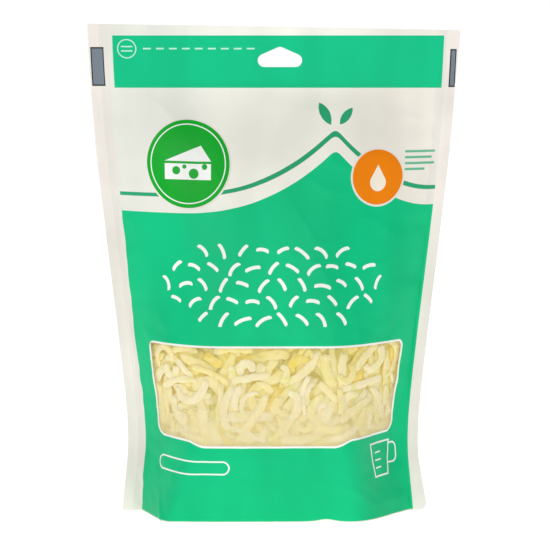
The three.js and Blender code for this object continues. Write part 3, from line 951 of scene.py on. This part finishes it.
# %% The back's print
def back_print(art):
    """The same fields, and a bare panel with a blank table, a few bars and a wedge of cheese."""
    fields_of_green(art, 0.8)
    art.paint(art.panel(-60, 62, 30, 128, radius=4), FILM_WHITE)
    art.paint(abs(art.panel(-54, -2, 38, 120, radius=1.5)) - 0.3, LINE_GREEN)
    bars(art, -50, (44,) * 9, 112, pitch=8.2, half=0.3, radius=SQUARE, colour=LINE_GREEN)
    bars(art, 6, (50, 46, 50, 44, 50, 38), 117, pitch=5, half=0.7, radius=0.6, colour=LINE_GREEN)
    cheese_wedge(art, 31, 60, size=17, colour=GREEN, hole_colour=FILM_WHITE)


# %% [markdown]
# ## The printed film's finish
#
# The laminate is satin: its gloss is soft, and it shows a faint orange peel. The white film under
# the inks isn't one tone: painted shade makes it darker and cooler at the left and painted light
# brighter in the middle; it is greyer in the margins and warmer on the sealed fins, and soft upright
# bands of painted shade lie over the film and its inks. Each is a ramp or a stretched noise over the
# flat film, so no part is one flat colour.

# %% Finish of the printed films
def printed_film(name, draw):
    """White film with inks, soft upright bands of painted shade and a faint orange-peel surface."""
    finish = Finish(name)
    art = Print(finish)
    # painted light and shade: the film's white is painted darker and cooler at the left and brighter in
    # the middle
    plain = finish.mix(finish.ramp(art.across, -30, 70), ink(235, 235, 226), ink(243, 237, 226))
    plain = finish.mix(finish.ramp(abs(art.across), 62, 8), plain, ink(250, 248, 237))
    art.colour = plain
    art.paint(-SIDE_LEFT + 0.5 - abs(art.across), ink(237, 232, 224))
    art.paint(FLAT_HALF + 1.2 - abs(art.across), ink(245, 237, 230))
    draw(art)
    art.colour = finish.mix(art.inner, art.colour, plain)
    stretched = {"Vector": art.place, "Scale": (0.045, 0.013, 1)}  # bands 22 mm wide, 77 mm tall
    band = finish.noise(finish.node("ShaderNodeMapping", {}, stretched), 1.0, 1.5)
    # painted shade: soft upright bands that darken the film and its inks
    shade = finish.mix(finish.ramp(band, 0.3, 0.7), ink(243, 244, 243), ink(255, 255, 255))
    colour = finish.mix(1.0, art.colour, shade, "MULTIPLY")
    fine = finish.noise(art.place, 1.2, 2.0)
    return finish.surface(Base_Color=colour, Roughness=0.34 + 0.14 * band, Specular_IOR_Level=0.12,
                          Normal=finish.bump(fine, 0.00003))


FRONT_FINISH = printed_film("front_print", front_print)
BACK_FINISH = printed_film("back_print", back_print)
GUSSET_FINISH = printed_film("gusset_film", lambda art: None)

# %% [markdown]
# ## Front, back and window
#
# The front and the back are sheets of the same outline. The window's outline is cut out of the
# front, and the clear film has that same outline, so the two meet edge to edge. The clear film
# lets most light straight through. A glass shader would bend it, as if the film were solid, so
# the surface is made part transparent by its alpha, and milkier where cheese is pressed to it.

# %% Clear film
def clear_film():
    """Thin glossy film: almost clear, and milky low down, where the cheese is pressed against it."""
    finish = Finish("clear_window_film")
    place = finish.attribute("film", "Vector")
    crease = finish.noise(place, 0.16, 4.0, 0.6)
    fine = finish.noise(place, 0.6, 3.0)
    _, up, _ = finish.parts(place)
    pressed = finish.ramp(up + crease * 14, 72, 50)
    surface = crease * 0.5 + fine * 0.12
    return finish.surface(Base_Color=ink(242, 229, 182), Alpha=0.14 + pressed * 0.28, Roughness=0.2,
                          Normal=finish.bump(surface, 0.0008, 0.5), Specular_IOR_Level=0.5)


# %% Films
bag_edge, window_edge, hang_hole = film_outline(), window_outline(), hang_hole_outline()
front = formed_sheet("front_film", bag_edge, [window_edge, hang_hole], -1, FRONT_FINISH)
back = formed_sheet("back_film", bag_edge, [hang_hole], 1, BACK_FINISH)
window = formed_sheet("window_sheet", window_edge, [], -1, clear_film(), printed=False)

# %% [markdown]
# ## Gusset
#
# The gusset film closes the base. Filled, it arches up between the two lower rims: low in the
# middle, where the cheese weighs on it, and high at both ends, where it is caught between the side
# seals. Its edges turn down inside the rims, as a skirt that is sealed to the films.

# %% Arch of the gusset
SKIRT = 3  # mm that the gusset's edges turn down inside the rims
SKIRT_FOOT = 0.3  # mm above the floor
RIDGE = {"middle": 2, "end": 25}
GUSSET_HALF = 34.0  # mm of flat film from the gusset's middle to its edge
GUSSET_STEPS = {"across": 110, "deep": 40}
INSIDE = 0.5  # mm from the outer face of the front and back film to the gusset


def gusset_height(x, share, seal):
    """Height of the arch at a place across, and at a share of the way from its middle to a rim."""
    ridge = RIDGE["middle"] + (RIDGE["end"] - RIDGE["middle"]) * np.minimum(1, np.abs(x) / seal) ** 3
    return ridge + (SKIRT - ridge) * np.abs(share)


print("arch of the gusset:", RIDGE["middle"], "mm high in the middle,", RIDGE["end"], "at its ends")


# %% Gusset film
def inside_film(across, up, face):
    """Places just inside the film, but never past the middle between front and back."""
    film, outwards = formed_film(across, up, face)
    sway = fin_wave(across, up)
    film -= outwards * INSIDE
    film[:, 1] = sway + face * np.maximum(0.02, face * (film[:, 1] - sway))
    return film


def gusset():
    across = np.linspace(1 - FLAT_HALF, FLAT_HALF - 1, GUSSET_STEPS["across"] + 1)
    zero = np.zeros(len(across))
    seal = STATIONS[0, HALF] - SEAL_WIDTH
    shares = np.linspace(-1, 1, GUSSET_STEPS["deep"] + 1)
    rows, places = [], []
    for share in (-1, *shares, 1):
        face = -1 if share < 0 else 1
        rim = formed_film(across, zero, face)[0]
        height = gusset_height(rim[:, 0], share, seal)
        wall = inside_film(across, height, face)
        sway = fin_wave(across, height)
        y = sway + share * face * (wall[:, 1] - sway)
        rows.append(np.stack([wall[:, 0], y, height], axis=1))
        places.append(np.stack([across, np.full(len(across), share * GUSSET_HALF), zero], axis=1))
    for edge, face in ((0, -1), (-1, 1)):
        rows[edge] = inside_film(across, zero, face)
        rows[edge][:, 2] = SKIRT_FOOT
    verts = np.concatenate(rows)
    at = np.concatenate(places)
    dent = soft_noise(at[:, 0], at[:, 1], 14, 9, 4.4) * 0.9
    dent += sharp_noise(at[:, 0], at[:, 1], 22, 12, 6.1) ** 3 * 0.7
    wide = len(across)
    inner = np.ones(len(verts))
    inner[:2 * wide] = inner[-2 * wide:] = 0
    verts[:, 2] += dent * inner * smooth(FLAT_HALF - np.abs(at[:, 0]), 0, 8)
    faces = ring_faces(len(rows), wide, closed=False)
    made = mesh_object("gusset_film", verts, faces, GUSSET_FINISH, {"film": at})
    solidify = made.modifiers.new("thickness", "SOLIDIFY")
    solidify.thickness = FILM * MM
    solidify.offset = 1
    evaluated = made.evaluated_get(bpy.context.evaluated_depsgraph_get())
    thick = bpy.data.meshes.new_from_object(evaluated)
    made.modifiers.clear()
    made.data = thick
    print(f"gusset: {len(made.data.polygons)} faces")
    return made


gusset_film = gusset()

# %% [markdown]
# ## The cheese
#
# Behind the window lie hundreds of soft strips, 2 to 5 mm wide. Strewing them at random would
# sink them into each other. So the pile is built from the window inwards, as it would be if the
# bag were filled lying on its face: a map keeps how deep the space behind the film is filled, and
# each new shred lies against what is there already, bending over it as far as its stiffness lets
# it. The first ones lie flat against the film. What no one can see through the pile is one core.
#
# Moist cheese takes light in and gives it out again close by, which softens every edge: that is
# subsurface scattering, with a weak painted glow, an emission, for the light that gathers between
# the strips. Each strip carries how deep it lies and a tone of its own, and its colours are mixed
# from these two, so near strips are pale, and deeper strips and the core are painted darker and
# yellower, as painted shade in the gaps between them.

# %% Cheese finish
def cheese_finish():
    """Pale moist cheese, painted warmer and deeper in tone the further in it lies, as painted shade."""
    finish = Finish("shredded_cheese")
    depth = finish.attribute("depth", "Fac")
    tone = finish.attribute("tone", "Fac")
    at = finish.node("ShaderNodeTexCoord", output="Object")
    mottle = finish.noise(at, 420, 3.0)
    light = finish.mix(tone, ink(234, 222, 188), ink(229, 213, 140))
    greenish = finish.ramp(finish.noise(at, 190, 1.0), 0.56, 0.7)
    light = finish.mix(greenish * 0.7, light, ink(218, 214, 120))
    # painted shade: strips further in, and the core, take deeper, yellower colours and darker olive
    # patches
    deep = finish.mix(tone, ink(231, 220, 132), ink(226, 205, 94))
    patch = finish.noise(at, 95, 2.0)
    deep = finish.mix(finish.ramp(patch, 0.5, 0.62), deep, ink(198, 186, 76))
    colour = finish.mix(finish.ramp(depth, 0.9, 4.6), light, deep)
    golden = finish.ramp(tone, 0.95, 0.97) & finish.ramp(depth, 1.3, 2.0)
    colour = finish.mix(golden, colour, ink(228, 200, 62))
    colour = finish.mix(finish.ramp(mottle, 0.35, 0.75) * 0.3, colour, ink(241, 236, 220))
    grain = finish.noise(at, 900, 2.0)
    # painted light: a weak emission in the cheese's own colour, a glow that lightens the gaps between
    # strips
    return finish.surface(Base_Color=colour, Roughness=0.42 + 0.12 * mottle, Specular_IOR_Level=0.4,
                          Subsurface_Weight=0.8, Subsurface_Radius=(1.0, 0.85, 0.5),
                          Subsurface_Scale=0.004, Emission_Color=colour, Emission_Strength=0.19,
                          Normal=finish.bump(grain * 0.4 + mottle * 0.6, 0.0003))


CHEESE = cheese_finish()

# %% Path of one shred
SHRED = {"length": (6, 30, 19), "width": (1.9, 5.4), "thickness": (0.8, 1.5)}
SHRED_STEP = 1.4
BUNDLE = 26  # mm over which shreds keep about the same direction
CURL = (2.4, 4.8)  # radians that a tightly curled shred turns through
STRAIGHT_SHARE = 0.8  # of the shreds: they only bend
draw = random.Random(11)


def shred_path(middle_across, middle_up):
    """Points of a flat, gently or tightly curled path round a middle, in film coordinates."""
    length = draw.triangular(*SHRED["length"])
    steps = max(6, round(length / SHRED_STEP))
    if draw.random() < STRAIGHT_SHARE:
        turn = draw.gauss(0, 0.7)
    else:
        turn = draw.choice((-1, 1)) * draw.uniform(*CURL)
    bend = draw.gauss(0, 0.5)
    grain = noise.noise((middle_across / BUNDLE, middle_up / BUNDLE, 9.1))
    angle = 1.3 + 3.2 * grain + draw.gauss(0, 0.45) - turn / 2
    points = [np.zeros(2)]
    for k in range(steps):
        points.append(points[-1] + np.array([math.cos(angle), math.sin(angle)]) * length / steps)
        angle += (turn + bend * math.sin(2 * math.pi * k / steps)) / steps
    points = np.array(points)
    return points - points.mean(axis=0) + np.array([middle_across, middle_up])


# %% The pile
PILE_CELL = 0.8
PRESSED = 0.5  # mm from the film to the first shreds at the window
BEHIND_PRINT = 1.7  # and beside it
LOOSE = 1.6  # how much further in the first shreds may lie near the fill's top
SQUEEZE = 0.7  # how far a shred may be pressed into those it lies against
COVERED = 0.8  # the share of what is under it that a shred covers without sinking in
UNEVEN, LONG = 0.7, 0.03  # what an uneven place costs a path, and what each of its steps gains


class Pile:
    """How deep the space behind the film is filled, over a grid of the flat film."""

    def __init__(self, left, right, bottom, top):
        self.low = np.array([left, bottom])
        self.count = np.ceil((np.array([right, top]) - self.low) / PILE_CELL).astype(int)
        grid = np.indices(self.count).reshape(2, -1)
        across, up = (self.low[:, None] + (grid + 0.5) * PILE_CELL)
        looser = smooth(up, 60, 84) * np.clip(0.5 + soft_noise(across, up, 16, 12, 2.2), 0, 1)
        seen = within(np.stack([across, up], axis=1), window_outline())
        self.depth = (np.where(seen, PRESSED, BEHIND_PRINT) + LOOSE * looser).reshape(self.count)

    def along(self, path):
        """The filled depths under the points of a path."""
        cells = np.clip(((path - self.low) / PILE_CELL).astype(int), 0, self.count - 1)
        return self.depth[cells[:, 0], cells[:, 1]]

    def cost(self, path):
        """Low for a long path over a place that is little filled and even."""
        depths = self.along(path)
        return depths.mean() + UNEVEN * depths.std() - LONG * len(path)

    def under(self, point, reach):
        """The cells that lie within reach of a point, as two index arrays."""
        middle = (point - self.low) / PILE_CELL - 0.5
        span = reach / PILE_CELL
        first = np.maximum(0, np.ceil(middle - span).astype(int))
        last = np.minimum(self.count - 1, np.floor(middle + span).astype(int))
        a, b = np.meshgrid(*(np.arange(lo, hi + 1) for lo, hi in zip(first, last)), indexing="ij")
        near = np.hypot(a - middle[0], b - middle[1]) <= span
        return a[near], b[near]

    def lay(self, path, width, thickness):
        """Lays a shred against what is there, and returns the depths of its middle line."""
        cells = [self.under(p, width / 2) for p in path]
        resting = np.array([np.quantile(self.depth[c], COVERED) if len(c[0]) else BEHIND_PRINT
                            for c in cells])
        padded = np.pad(resting, 2, mode="edge")
        eased = np.array([padded[k:k + 5].mean() for k in range(len(resting))])
        eased = np.maximum(eased, resting - SQUEEZE)
        for c, depth in zip(cells, eased):
            self.depth[c] = np.maximum(self.depth[c], depth + thickness)
        return eased + thickness / 2


# %% A ragged strip
SECTION = 10  # points round a shred
RAGGED = {"share": 0.42, "size": 2.9}  # how much a torn edge strays, and over how many mm
TORN_END = {"blunt": (0.1, 0.6), "widens": (2.5, 8)}  # its width, and how fast it gets to the full one
SQUARED = {"side": 0.6, "high": 0.5}  # powers: the lower, the squarer the section


def strip_of_cheese(points, outwards, width, thickness, twist):
    """Rings of points round a middle line: ragged edges, and ends that are torn blunt or thin."""
    forward = np.gradient(points, axis=0)
    forward /= np.linalg.norm(forward, axis=1)[:, None]
    face = outwards - (outwards * forward).sum(axis=1)[:, None] * forward
    face /= np.linalg.norm(face, axis=1)[:, None]
    across = np.cross(face, forward)
    share = np.linspace(0, 1, len(points))
    turned = twist * (share - 0.5)
    cosine, sine = np.cos(turned)[:, None], np.sin(turned)[:, None]
    across, face = across * cosine + face * sine, face * cosine - across * sine
    blunt = np.array([draw.uniform(*TORN_END["blunt"]) for _ in range(2)])
    widens = np.array([draw.uniform(*TORN_END["widens"]) for _ in range(2)])
    from_ends = np.stack([share, 1 - share], axis=1)
    taper = np.minimum(1, (blunt + widens * from_ends).min(axis=1)) ** 0.6
    reach = share * len(points) * SHRED_STEP
    seed = draw.uniform(0, 50)
    rings = []
    for k in range(SECTION):
        a = 2 * math.pi * (k + 0.5) / SECTION
        side = math.copysign(abs(math.cos(a)) ** SQUARED["side"], math.cos(a))
        high = math.copysign(abs(math.sin(a)) ** SQUARED["high"], math.sin(a))
        edge = np.full(len(reach), 4 * np.sign(side))
        row = np.full(len(reach), side)
        rag = 1 + RAGGED["share"] * soft_noise(reach, edge, RAGGED["size"], 1, seed)
        thin = 1 + 0.5 * RAGGED["share"] * soft_noise(reach, row, RAGGED["size"], 1, seed + 5)
        rings.append(points + across * (side * width / 2 * taper * rag)[:, None]
                     + face * (high * thickness / 2 * np.minimum(1, taper * thin))[:, None])
    return np.stack(rings, axis=1)


# %% Strips behind the window
PILE_DEPTH = 5.6  # mm: the pile is done when half of it is deeper than this
PILE_MARGIN = 7  # mm that it reaches past the window on all sides
TRIES = 40  # paths from which the best is taken for each shred
FLATTENED = 0.35  # how much thinner the shreds are where the fill's weight presses them
TWIST_ROOM = 1.1  # mm: the wider a shred, the less it may twist under the film


def lies_in_bag(path):
    """Whether a path keeps clear of the side seals and the gusset."""
    return np.abs(path[:, 0]).max() < FLAT_HALF - 3 and path[:, 1].min() > 8


def pile_behind_window():
    """Shreds as (path, depths, width, thickness, twist), from the film inwards."""
    left, right = WINDOW["left"] - PILE_MARGIN, WINDOW["right"] + PILE_MARGIN
    bottom, top = WINDOW["bottom"] - PILE_MARGIN, WINDOW["top"] + PILE_MARGIN
    pile = Pile(left, right, bottom, top)
    laid = []
    while np.median(pile.depth) < PILE_DEPTH:
        tries = [shred_path(draw.uniform(left, right), draw.uniform(bottom, top))
                 for _ in range(TRIES)]
        path = min(filter(lies_in_bag, tries), key=pile.cost)
        width = draw.triangular(*SHRED["width"])
        pressed = 1 - FLATTENED * smooth(path[:, 1].mean(), 66, 52)
        thickness = draw.uniform(*SHRED["thickness"]) * pressed
        room = TWIST_ROOM / width
        twist = max(-room, min(room, draw.gauss(0, 0.4)))
        laid.append((path, pile.lay(path, width, thickness), width, thickness, twist))
    widths = [width for _, _, width, *_ in laid]
    print(f"{len(laid)} shreds, {min(widths):.1f} to {max(widths):.1f} mm wide")
    return laid


# %% One mesh of strips
def shreds_behind_window():
    """One mesh of all the strips, with each one's tone and how deep every part of it lies."""
    laid = pile_behind_window()
    lengths = [len(path) for path, *_ in laid]
    flat = np.concatenate([path for path, *_ in laid])
    depths = np.concatenate([depth for _, depth, *_ in laid])
    film, outwards = formed_film(flat[:, 0], flat[:, 1], -1)
    points = film - outwards * depths[:, None]
    verts, faces, tones, deep, start = [], [], [], [], 0
    for (_, depth, width, thickness, twist), count in zip(laid, lengths):
        part = slice(start, start + count)
        rings = strip_of_cheese(points[part], outwards[part], width, thickness, twist)
        faces += ring_faces(count, SECTION, start * SECTION)
        verts.append(rings.reshape(-1, 3))
        tones.append(np.full(count * SECTION, draw.random()))
        deep.append(np.repeat(depth, SECTION))
        start += count
    values = {"tone": np.concatenate(tones), "depth": np.concatenate(deep)}
    made = mesh_object("cheese_shreds", np.concatenate(verts), faces, CHEESE, values)
    print(f"shreds: {len(made.data.polygons)} faces, {depths.max():.1f} mm deep")
    return made


shreds = shreds_behind_window()

# %% Places on the core
FILL_HEIGHT = 92
CORE_BEHIND_FRONT = 6.0  # mm from the smooth front film: the back of the pile lies against it
CORE_BEFORE_BACK = 1.6
CORE_REACH = FLAT_HALF - 5
CORE_STEPS = {"across": 70, "up": 46, "deep": 16}
CORE_LUMPS = 0.9  # mm
ABOVE_GUSSET = 3
LOW_LEVEL = 12  # a wall's foot is looked for at this height


def fill_height(x, y):
    """The uneven top of the fill."""
    return FILL_HEIGHT + 3 * np.sin(x / 11 + 0.6) * np.cos(y / 9) - 2 * (x / 60) ** 2 * np.cos(x / 17)


def core_floor(x, y):
    """The core's underside: it rests on the gusset."""
    base_seal, *base = section(x < 0, np.zeros(len(x)))
    rim = np.maximum(0.8, stand_out(x, base_seal, *base))
    return gusset_height(x, np.minimum(1, np.abs(y) / rim), base_seal) + ABOVE_GUSSET


def core_wall(across, levels, face, inset):
    """One upright line of the core's wall, at a distance inside the film."""
    across = np.full(len(levels), across)
    film, outwards = facing(across, np.full(len(levels), LOW_LEVEL), face)
    low = film - outwards * inset
    foot = core_floor(low[:, 0], low[:, 1])
    height = foot + levels * (fill_height(low[:, 0], low[:, 1]) - foot)
    film, outwards = facing(across, height, face)
    wall = film - outwards * inset
    wall[:, 1] = face * np.maximum(0.25, face * wall[:, 1])
    wall[:, 2] = height
    return wall


def bridge(start, end, levels, height_of):
    """Points from one wall to the other, at heights that depend on the place."""
    points = start + levels[:, None] * (end - start)
    points[:, 2] = height_of(points[:, 0], points[:, 1])
    return points


# %% Core of the heap
def heap_core():
    """A closed body of rings: each goes up the front, over the top, down the back and under."""
    levels = np.linspace(0, 1, CORE_STEPS["up"] + 1)
    between = np.linspace(0, 1, CORE_STEPS["deep"] + 1)[1:-1]
    rings = []
    for across in np.linspace(-CORE_REACH, CORE_REACH, CORE_STEPS["across"] + 1):
        front = core_wall(across, levels, -1, CORE_BEHIND_FRONT)
        back = core_wall(across, levels, 1, CORE_BEFORE_BACK)
        over = bridge(front[-1], back[-1], between, fill_height)
        under = bridge(back[0], front[0], between, core_floor)
        rings.append(np.concatenate([front, over, back[::-1], under]))
    verts = np.concatenate(rings)
    bumps = sharp_noise(verts[:, 0] + verts[:, 1], verts[:, 2], 4.2, 3.4, 5.5)
    away = verts - np.array([0, 0, FILL_HEIGHT / 2])
    away /= np.linalg.norm(away, axis=1)[:, None]
    verts += away * (bumps * CORE_LUMPS - CORE_LUMPS)[:, None]
    tone = 0.5 + 0.5 * soft_noise(verts[:, 0], verts[:, 2], 5, 4, 8.8)
    # the core's depth gives it the deepest colours of the cheese, which are painted shade
    values = {"tone": tone, "depth": np.full(len(verts), CORE_BEHIND_FRONT)}
    faces = ring_faces(len(rings), len(rings[0]))
    made = mesh_object("cheese_core", verts, faces, CHEESE, values)
    print(f"core: {len(made.data.polygons)} faces")
    return made


core = heap_core()

# %% [markdown]
# ## What stands for what
#
# Every piece rides on the one body of the model, since a shut bag has no joint. Each row names a
# piece, the solid that it stands for, which is hidden, and a material slot, which the loop does not
# use: each piece already has its finish.

# %% Bodies, nodes and slots
for piece, node, slot in ((front, "pouch", "printed_film"), (back, "pouch", "printed_film"),
                          (gusset_film, "pouch", "printed_film"), (window, "window_film", "clear_film"),
                          (shreds, "shredded_cheese", "cheese"), (core, "shredded_cheese", "cheese")):
    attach(piece, "root")
    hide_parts(node)
    print(f"{piece.name} stands for {node}")
